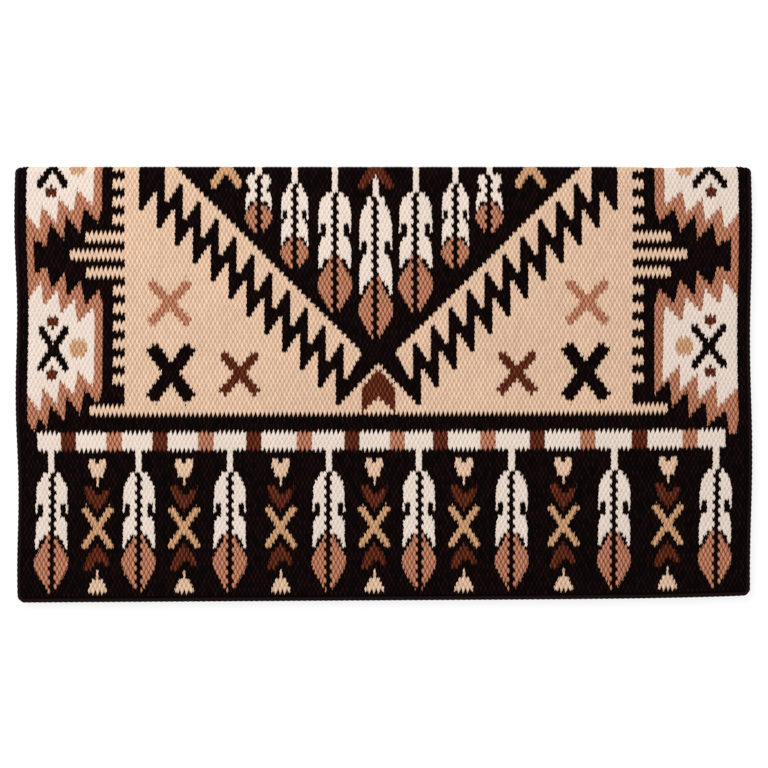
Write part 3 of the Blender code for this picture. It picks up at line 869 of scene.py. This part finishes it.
# Which areas are woven of each yarn, by how their names start; the first that fits holds
YARNS = {
    "black": ("border_frame", "end_panel", "v_panel", "border_crosses", "black_cross"),
    "tan": ("tan_field", "v_lining", "hem_hearts", "hem_spires"),
    "rust": ("v_feather_tip", "hem_feather_tips", "rust_outline", "rust_cross", "beads_rust"),
    "cream": ("v_feather", "upper_cream", "lower_cream", "bead_band"),
    "brown": ("brown_cross", "beads_brown", "arrowhead", "border_fl", "hem_chev", "fold_chev"),
    "gold": ("border_dots", "hem_crosses", "fold_crosses"),
}


def yarn_of(area):
    return next(yarn for yarn, starts in YARNS.items() if area.startswith(starts))


def node(tree, kind, settings=None, **inputs):
    """Adds a shader node with its settings, and its inputs as values or as links."""
    made = tree.nodes.new(f"ShaderNode{kind}")
    for name, value in (settings or {}).items():
        setattr(made, name, value)
    for name, value in inputs.items():
        number = name[1:]
        socket = made.inputs[int(number) if number.isdigit() else name.replace("_", " ")]
        if isinstance(value, bpy.types.NodeSocket):
            tree.links.new(value, socket)
        else:
            socket.default_value = value
    return made.outputs


def maths(tree, operation, *values):
    inputs = {f"i{k}": value for k, value in enumerate(values)}
    return node(tree, "Math", {"operation": operation}, **inputs)[0]


GREY_SHARE, GREY = 0.62, 0.02  # of the grey hairs in a heathered yarn
RELIEF = 0.0003  # of plies and fibres
WOOL_IOR = 1.54


def new_material(name):
    material = bpy.data.materials.new(name)
    material.use_nodes = True
    return material, material.node_tree


def new_wool(name):
    """A material with its tree, the stitch's or ply's own places on it and the noise's place."""
    material, tree = new_material(name)
    place = node(tree, "Attribute", {"attribute_name": "weave"})["Vector"]
    parts = node(tree, "SeparateXYZ", Vector=place)
    return material, tree, parts, node(tree, "TexCoord")["Object"]


def finish_wool(tree, colour, shade, relief, strength, **values):
    """Joins the shaded colour and the relief of the plies to the shader, and sets its values."""
    shader = tree.nodes["Principled BSDF"]
    tinted = node(tree, "VectorMath", {"operation": "SCALE"}, Vector=colour, Scale=shade)[0]
    bump = node(tree, "Bump", Strength=strength, Distance=RELIEF, Height=relief)[0]
    tree.links.new(tinted, shader.inputs["Base Color"])
    tree.links.new(bump, shader.inputs["Normal"])
    for name, value in {"IOR": WOOL_IOR, **values}.items():
        shader.inputs[name.replace("_", " ")].default_value = value


def woven_wool(name, colour, tone, heather, fleck, sheen, shadow):
    """Two-ply carpet wool, packed hard by the comb: matt, a little fuzzy, with painted shade in the
    grooves.

    The eye sees each stitch's own shade, the slanting plies in it and, up close, the fibres.
    """
    material, tree, parts, spot = new_wool(name)
    multiply_add = partial(maths, tree, "MULTIPLY_ADD")
    off_a, off_b = (maths(tree, "SUBTRACT", parts[k], 0.5) for k in (0, 1))
    chance = parts[2]

    # Painted shade: the groove round a stitch, where fibres shade each other, and its two tips deep
    # in the weave are painted darker
    rim = maths(tree, "MAXIMUM", *(maths(tree, "ABSOLUTE", off) for off in (off_a, off_b)))
    end = maths(tree, "ABSOLUTE", maths(tree, "ADD", off_a, off_b))
    smoothly = {"interpolation_type": "SMOOTHSTEP"}
    groove = node(tree, "MapRange", smoothly, i0=rim, i1=0.18, i2=0.5)[0]
    tip = node(tree, "MapRange", smoothly, i0=end, i1=0.35, i2=0.95)[0]

    # Two plies, laid at a slant: about three turns show in a stitch of 10 mm
    lean = multiply_add(off_a, 2.4, maths(tree, "MULTIPLY", off_b, 0.9))
    turn = multiply_add(lean, math.tau, maths(tree, "MULTIPLY", chance, 3.0))
    plies = maths(tree, "SINE", turn)

    # Fibres, about 0.5 mm and drawn out along the stitch, and slow broad patches of lighter and
    # darker colour
    drawn_out = node(tree, "Mapping", Vector=spot, Scale=(1900.0, 700.0, 1900.0))[0]
    fibres = node(tree, "TexNoise", Vector=drawn_out, Scale=1.0, Detail=2.0)[0]
    drift = node(tree, "TexNoise", Vector=spot, Scale=14.0, Detail=3.0)[0]

    shade = multiply_add(maths(tree, "SUBTRACT", chance, 0.5), tone, 1.0)
    # Painted shade of the slanting plies: their colour goes a little lighter and darker, besides
    # their bump
    shade = multiply_add(plies, 0.05, shade)
    for noise, amount in ((fibres, fleck), (drift, 0.16)):
        shade = multiply_add(maths(tree, "SUBTRACT", noise, 0.5), amount, shade)
    # Painted shade: the colour is darkened in the grooves and most at the tips, by the yarn's
    # shadow share
    dark = multiply_add(tip, 0.8, groove)
    shade = maths(tree, "MULTIPLY", shade, multiply_add(dark, -shadow, 1.0))
    lit = node(
        tree, "Mix", {"data_type": "RGBA", "blend_type": "MIX"},
        Factor=maths(tree, "MULTIPLY", chance, heather),
        i6=(*colour, 1), i7=(*(GREY_SHARE * c + GREY for c in colour), 1),
    )[2]
    # Painted shade: light that has gone from fibre to fibre down in a groove comes back deeper in
    # colour, so the grooves are painted deeper in colour
    deeper = node(tree, "Gamma", Color=lit, Gamma=multiply_add(dark, 0.25, 1.0))[0]
    finish_wool(
        tree, deeper, shade, multiply_add(plies, 0.5, fibres), 0.45, Roughness=0.9,
        Specular_IOR_Level=0.04, Sheen_Weight=sheen, Sheen_Roughness=0.55,
    )
    return material


def twisted_wool(name, colour):
    """The same black yarn as two hard-twisted plies, smoother and tighter than in the cloth."""
    material, tree, parts, spot = new_wool(name)
    multiply_add = partial(maths, tree, "MULTIPLY_ADD")
    strands = maths(tree, "SINE", multiply_add(parts[0], 3 * math.tau, parts[1]))
    fibres = node(tree, "TexNoise", Vector=spot, Scale=1500.0, Detail=2.0)[0]
    drift = node(tree, "TexNoise", Vector=spot, Scale=60.0, Detail=2.0)[0]
    shade = 0.6
    # The strands are painted lighter and darker along their twist, as painted shade, besides their
    # bump
    for part, amount in ((strands, 0.12), (fibres, 0.5), (drift, 0.3)):
        shade = multiply_add(part, amount, shade)
    relief = multiply_add(strands, 0.5, fibres)
    finish_wool(tree, colour, shade, relief, 0.5, Roughness=0.85, Specular_IOR_Level=0.08)
    return material


# For each yarn: spread of tone between stitches, heathering, fibre contrast, sheen, strength of the
# painted shade in grooves and at tips
YARN_LOOKS = {
    "black": (1.40, 0.0, 2.00, 0.0, 0.30),
    "cream": (0.05, 0.0, 0.14, 0.05, 0.09),
    "tan": (0.16, 0.12, 0.30, 0.05, 0.19),
    "rust": (0.26, 0.40, 0.50, 0.04, 0.38),
    "brown": (0.36, 0.20, 0.60, 0.02, 0.32),
    "gold": (0.18, 0.30, 0.36, 0.04, 0.24),
}


def yarn_material(yarn):
    name = f"{yarn}_carpet_wool"
    colour = getattr(bpy.context.scene.blanket_wools, yarn)
    return bpy.data.materials.get(name) or woven_wool(name, tuple(colour), *YARN_LOOKS[yarn])


woven = {}


def halves(context):
    """The chart and the web of both halves, made once."""
    if not woven:
        loom = Loom(context.scene.blanket_cloth)
        for half, side in (("near", 1), ("off", -1)):
            chart = Chart(loom, side)
            woven[half] = chart, Web(loom, *chart.stitches(FOLD_ROWS, loom.rows))
    return woven


SHEETS = ("end_panel", "tan_field", "v_panel")  # woven with walls only where the web itself ends, with the rest set in them


def weave_area(context, name):
    """Weaves one area of both halves, in place of the area's own solid where it has one."""
    yarn = yarn_of(name)
    for half, (chart, web) in halves(context).items():
        called = f"{half}_{name}_weave"
        mesh = web.mesh(called, [chart.names.index(name)], walls=name not in SHEETS)
        if not len(mesh.polygons):
            raise RuntimeError(f"the chart has no stitches of {name}")
        solid = f"{half}_{name}" if f"{half}_{name}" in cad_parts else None
        shown(called, mesh, [yarn_material(yarn)], solid, f"{half}_side")


class WeavesAreas:
    """What the operators share that weave areas: theirs are those whose names start so"""

    starts = ()

    def execute(self, context):
        names = [n for n in halves(context)["near"][0].names if n.startswith(self.starts)]
        if not names:
            raise RuntimeError(f"the chart has no area of {self.starts}")
        for name in names:
            weave_area(context, name)
        return {"FINISHED"}


class BLANKET_OT_grounds(WeavesAreas, bpy.types.Operator):
    """Weave the black ground of the borders and the hem end, and the tan field"""

    bl_idname = "blanket.grounds"
    bl_label = "Weave Grounds"
    starts = ("border_frame", "end_panel", "tan_field")


class BLANKET_OT_diamonds(WeavesAreas, bpy.types.Operator):
    """Weave the stepped diamonds of the side borders and the small marks in them"""

    bl_idname = "blanket.diamonds"
    bl_label = "Weave Diamonds"
    starts = ("rust_outline", "upper_cream", "lower_cream", "border_c", "border_d", "border_fl")


class BLANKET_OT_serrate_v(WeavesAreas, bpy.types.Operator):
    """Weave the serrate V with its linings, and the arrowhead below it"""

    bl_idname = "blanket.serrate_v"
    bl_label = "Weave Serrate V"
    starts = ("v_panel", "v_lining", "arrowhead", "fold_crosses", "fold_chevron")


class BLANKET_OT_v_feathers(WeavesAreas, bpy.types.Operator):
    """Weave the seven feathers that hang in the V"""

    bl_idname = "blanket.v_feathers"
    bl_label = "Weave V Feathers"
    starts = ("v_feather",)


class BLANKET_OT_field_crosses(WeavesAreas, bpy.types.Operator):
    """Weave the six crosses of the tan field"""

    bl_idname = "blanket.field_crosses"
    bl_label = "Weave Field Crosses"
    starts = ("black_cross", "rust_cross", "brown_cross")


class BLANKET_OT_bead_band(WeavesAreas, bpy.types.Operator):
    """Weave the bead band and the eight feathers that hang from it"""

    bl_idname = "blanket.bead_band"
    bl_label = "Weave Bead Band"
    starts = ("bead", "hem_feather_tips")


class BLANKET_OT_hem_columns(WeavesAreas, bpy.types.Operator):
    """Weave the hearts, chevrons, crosses and spires between the hem's feathers"""

    bl_idname = "blanket.hem_columns"
    bl_label = "Weave Hem Columns"
    starts = ("hem_hearts", "hem_chevrons", "hem_crosses", "hem_spires")


class BLANKET_OT_fold(bpy.types.Operator):
    """Weave the turn of the cloth along the spine"""

    bl_idname = "blanket.fold"
    bl_label = "Weave Fold"

    def execute(self, context):
        charts = [chart for chart, web in halves(context).values()]
        parts = [chart.stitches(0, FOLD_ROWS - 1) for chart in charts]
        i, j, area = (np.concatenate(of_both) for of_both in zip(*parts))
        yarns = list(YARN_LOOKS)
        names = charts[0].names
        web = Web(charts[0].loom, i, j, area)
        materials = np.array([yarns.index(yarn_of(name)) for name in names])
        mesh = web.mesh("spine_fold_weave", np.arange(len(names)), materials)
        wools = [yarn_material(yarn) for yarn in yarns]
        made = shown("spine_fold_weave", mesh, wools, "spine_fold")
        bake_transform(made)
        return {"FINISHED"}


def cord_line():
    """The line of the edge cord round a half, by place and depth, with the way that faces out."""
    radius = CORNER_RADIUS - CORD_THICK / 2
    wide, low = HALF_WIDTH - CORD_THICK / 2, DROP - CORD_THICK / 2
    start = QUARTER - SAVED + CORD_CLEAR
    line = [((-wide, start), (-1, 0)), ((-wide, low - radius), (-1, 0))]
    for k in range(1, CORNER_STEPS):
        turn = math.pi / 2 * k / CORNER_STEPS
        out = (-math.cos(turn), math.sin(turn))
        line.append(((-wide + radius + radius * out[0], low - radius + radius * out[1]), out))
    line.append(((-wide + radius, low), (0, 1)))
    return line + [((-x, y), (-nx, ny)) for (x, y), (nx, ny) in reversed(line)]


def stepped(line, step):
    """The line with points at even steps, and each point's distance along it."""
    places = np.array([place for place, out in line])
    outs = np.array([out for place, out in line], float)
    run = np.concatenate([[0], np.cumsum(np.linalg.norm(np.diff(places, axis=0), axis=1))])
    at = np.linspace(0, run[-1], round(run[-1] / step) + 1)
    place = np.stack([np.interp(at, run, places[:, k]) for k in (0, 1)], -1)
    out = np.stack([np.interp(at, run, outs[:, k]) for k in (0, 1)], -1)
    return place, out / np.linalg.norm(out, axis=1)[:, None], at


def plied_mesh(name, loom, sides, along, way, out_along, out_way, turns):
    """Two plies wound round each other along a line on the cloth's edge."""
    middle = (FOLD_RADIUS + INNER_RADIUS) / 2
    apart, ply = CORD_THICK * PLY_APART, CORD_THICK * PLY_HALF
    spots, faces, twist = [], [], []
    round_it = math.tau * np.arange(sides) / sides
    for strand in (0, math.pi):
        angle = turns * math.tau + strand
        out = apart * np.cos(angle)[:, None] + ply * np.cos(round_it)[None, :]
        up = apart * np.sin(angle)[:, None] + ply * np.sin(round_it)[None, :]
        x = along[:, None] + out * out_along[:, None]
        y = way[:, None] + out * out_way[:, None]
        first = len(spots) * len(along) * sides
        spots.append(loom.lay(x, y, middle + up).reshape(-1, 3))
        turn = np.broadcast_to(round_it / math.tau, out.shape)
        run = np.broadcast_to(turns[:, None] * math.tau, out.shape)
        twist.append(np.stack([turn, run, 0 * run], -1).reshape(-1, 3))
        index = first + np.arange(len(along) * sides).reshape(len(along), sides)
        after = np.roll(index, -1, 1)
        quads = np.stack([index[:-1], index[1:], after[1:], after[:-1]], -1).reshape(-1, 4)
        faces += quads.tolist() + [index[0].tolist(), index[-1][::-1].tolist()]
    mesh = bpy.data.meshes.new(name)
    mesh.from_pydata(np.concatenate(spots).tolist(), [], faces)
    mesh.update()
    mesh.shade_smooth()
    put_weave(mesh, "POINT", np.concatenate(twist))
    return mesh


class BLANKET_OT_cords(bpy.types.Operator):
    """Lay the two-ply cord round the edges of both halves and round the fold's ends"""

    bl_idname = "blanket.cords"
    bl_label = "Lay Edge Cords"

    def execute(self, context):
        loom, cords = halves(context)["near"][0].loom, context.scene.blanket_cords
        material = twisted_wool("black_cord_wool", tuple(context.scene.blanket_wools.black))
        place, out, at = stepped(cord_line(), cords.lay / cords.steps)
        # A whole number of turns in all, so that the plies meet at both ends of the fold
        whole = 2 * (QUARTER + at[-1] / 2)
        lay = whole / round(whole / cords.lay)

        def laid(stood_for, body, *line):
            mesh = plied_mesh(f"{stood_for}_plies", loom, cords.sides, *line)
            return shown(mesh.name, mesh, [material], stood_for, body)

        for half, side in (("near", 1), ("off", -1)):
            way, turns = side * (place[:, 1] + SAVED), side * (QUARTER + at) / lay
            line = place[:, 0], way, out[:, 0], side * out[:, 1], turns
            laid(f"{half}_edge_cord", f"{half}_side", *line)
        way = np.linspace(-QUARTER, QUARTER, CORD_RINGS)
        for side, sign in (("left", -1.0), ("right", 1.0)):
            along = np.full(len(way), sign * (HALF_WIDTH - CORD_THICK / 2))
            line = along, way, sign + 0 * way, 0 * way, way / lay * -sign
            made = laid(f"spine_cord_{side}", None, *line)
            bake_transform(made)
        return {"FINISHED"}


class BLANKET_OT_sheets(bpy.types.Operator):
    """Read the names of the chart's areas, and do nothing with them"""

    bl_idname = "blanket.sheets"
    bl_label = "Declare Cloth"

    def execute(self, context):
        names = halves(context)["near"][0].names
        return {"FINISHED"}


def lamp(name, place, size, power):
    """A round soft lamp that points at the middle of the floor."""
    light = bpy.data.lights.new(name, "AREA")
    light.shape, light.size, light.energy = "DISK", size, power
    made = added(name, light)
    made.location = place
    aim = np.array(place) / np.linalg.norm(place)
    made.rotation_euler = (math.acos(aim[2]), 0, math.atan2(aim[1], aim[0]) + math.pi / 2)


FLOOR_REACH = 6.0
FLOOR_CORNERS = ((-1, -1), (1, -1), (1, 1), (-1, 1))
FLOOR_GAP = 0.0005  # under the blanket
LAMP_PLACE, LAMP_SIZE = (-0.9, 1.3, 2.2), 1.6


def seen_directly(tree):
    """1 for the rays that show the white itself, and 0 for those that only light the blanket."""
    path = node(tree, "LightPath")
    direct = maths(tree, "MAXIMUM", path["Is Camera Ray"], path["Is Glossy Ray"])
    return maths(tree, "MAXIMUM", direct, path["Is Transmission Ray"])


def floor_material():
    """Seamless white paper: matt, and bright to the camera, with the object's shadow kept."""
    material, tree = new_material("white_backdrop_paper")
    shader = tree.nodes["Principled BSDF"]
    shader.inputs["Base Color"].default_value = (*linear("#F7F7F7"), 1)
    shader.inputs["Roughness"].default_value = 0.95
    glow = node(tree, "Emission", Strength=1.12)[0]
    share = maths(tree, "MULTIPLY", seen_directly(tree), 0.72)
    mix = node(tree, "MixShader", i0=share, i1=shader.outputs[0], i2=glow)[0]
    tree.links.new(mix, tree.nodes["Material Output"].inputs["Surface"])
    return material


class BLANKET_OT_stage(bpy.types.Operator):
    """Set the white floor, the soft light and the camera square above the blanket"""

    bl_idname = "blanket.stage"
    bl_label = "Set Stage"

    def execute(self, context):
        stage, scene = context.scene.blanket_stage, context.scene
        mesh = bpy.data.meshes.new("floor")
        corners = [(FLOOR_REACH * x, FLOOR_REACH * y, 0) for x, y in FLOOR_CORNERS]
        mesh.from_pydata(corners, [], [(0, 1, 2, 3)])
        mesh.materials.append(floor_material())
        floor = added("floor", mesh)
        floor.location.z = CAD_BOX[0][2] - FLOOR_GAP

        world = bpy.data.worlds.new("studio")
        world.use_nodes = True
        scene.world = world
        tree = world.node_tree
        light = tree.nodes["Background"]
        light.inputs["Color"].default_value = (1, 1, 1, 1)
        light.inputs["Strength"].default_value = stage.sky
        seen = node(tree, "Background", Color=(1, 1, 1, 1), Strength=1.0)[0]
        mix = node(tree, "MixShader", i0=seen_directly(tree), i1=light.outputs[0], i2=seen)[0]
        tree.links.new(mix, tree.nodes["World Output"].inputs["Surface"])

        lamp("soft_lamp", LAMP_PLACE, LAMP_SIZE, stage.lamp_power)
        camera = bpy.data.cameras.new("camera")
        distance = stage.camera_height - CAD_BOX[1][2]
        camera.lens = camera.sensor_width * distance / stage.view_width
        scene.camera = added("camera", camera)
        scene.camera.location = (*stage.view_middle, stage.camera_height)
        scene.view_settings.view_transform = "Standard"
        return {"FINISHED"}


OPERATORS = (
    BLANKET_OT_stage,
    BLANKET_OT_grounds,
    BLANKET_OT_diamonds,
    BLANKET_OT_serrate_v,
    BLANKET_OT_v_feathers,
    BLANKET_OT_field_crosses,
    BLANKET_OT_bead_band,
    BLANKET_OT_hem_columns,
    BLANKET_OT_fold,
    BLANKET_OT_cords,
    BLANKET_OT_sheets,
)
GROUPS = {
    "blanket_cloth": BlanketCloth,
    "blanket_cords": BlanketCords,
    "blanket_wools": BlanketWools,
    "blanket_stage": BlanketStage,
}


class BLANKET_PT_panel(bpy.types.Panel):
    """Sizes, colours and steps of the blanket"""

    bl_idname = "BLANKET_PT_panel"
    bl_label = "Saddle Blanket"
    bl_space_type = "VIEW_3D"
    bl_region_type = "UI"
    bl_category = "Blanket"

    def draw(self, context):
        for name, group in GROUPS.items():
            box = self.layout.box()
            for prop in group.__annotations__:
                box.prop(getattr(context.scene, name), prop)
        for operator in OPERATORS:
            self.layout.operator(operator.bl_idname)


CLASSES = (*GROUPS.values(), *OPERATORS, BLANKET_PT_panel)


def register():
    for cls in CLASSES:
        bpy.utils.register_class(cls)
    for name, group in GROUPS.items():
        setattr(bpy.types.Scene, name, PointerProperty(type=group))


def unregister():
    for name in GROUPS:
        delattr(bpy.types.Scene, name)
    for cls in reversed(CLASSES):
        bpy.utils.unregister_class(cls)


def main():
    register()
    for operator in OPERATORS:
        group, name = operator.bl_idname.split(".")
        getattr(getattr(bpy.ops, group), name)()


if __name__ == "__main__":
    main()
